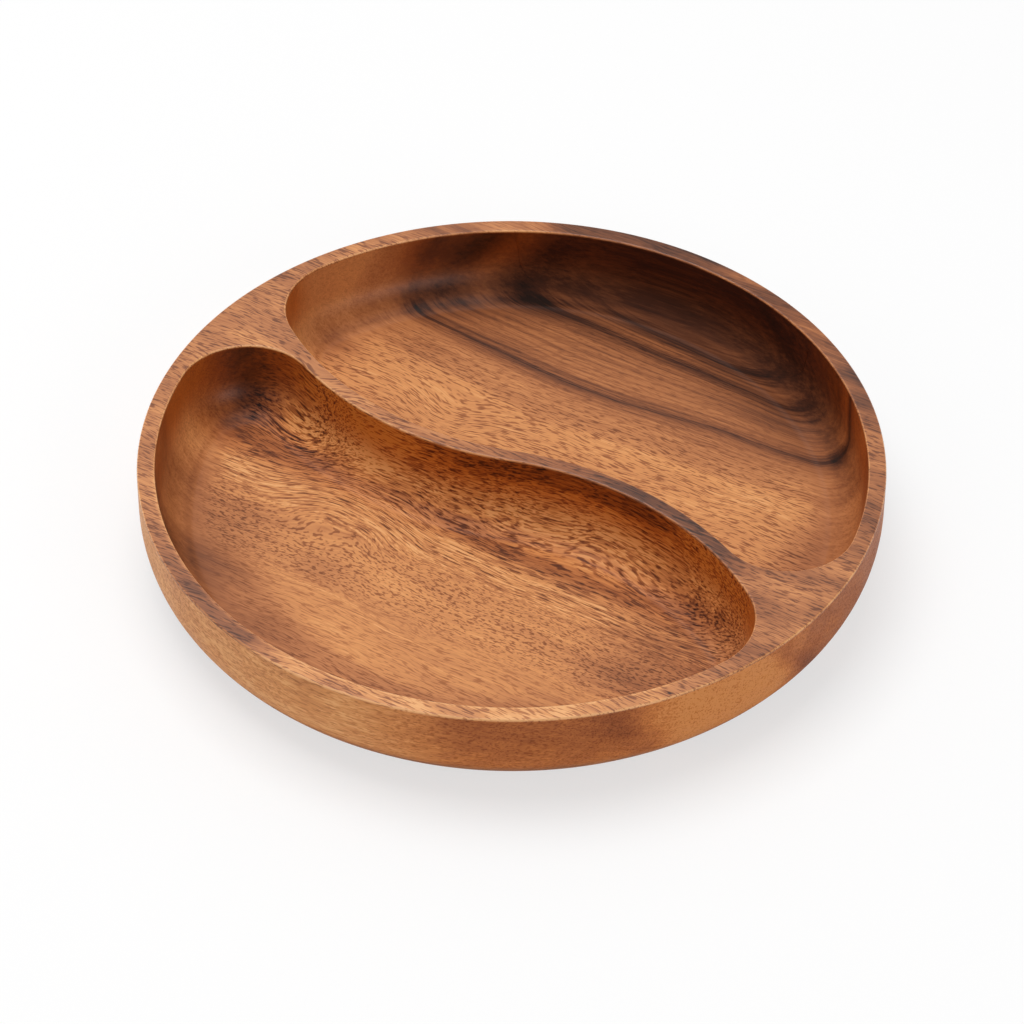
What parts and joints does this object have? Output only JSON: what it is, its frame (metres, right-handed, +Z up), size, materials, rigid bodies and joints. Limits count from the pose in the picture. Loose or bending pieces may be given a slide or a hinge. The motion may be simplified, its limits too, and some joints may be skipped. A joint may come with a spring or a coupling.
{
  "type": "divided bowl",
  "caption": "Shallow round hardwood bowl with a flat rim and comma-shaped compartments on either side of an S-shaped divider, to hold keys, snacks or small things.",
  "frame": {"origin": "centre of the flat base that the bowl rests on", "axes": "+Z up out of the bowl; +X along the grain and along the glued seams, roughly from land to land of the divider; +Y towards the compartment with the dark back wall"},
  "size_m": [0.254, 0.254, 0.038],
  "materials": {
    "acacia_honey": "oiled, satin",
    "acacia_brown": "oiled, satin",
    "acacia_dark": "oiled, satin"
  },
  "bodies": {
    "root": {"board_1": "acacia_honey", "board_2": "acacia_honey", "board_3": "acacia_brown", "board_4": "acacia_brown", "board_5": "acacia_dark"}
  },
  "joints": []
}
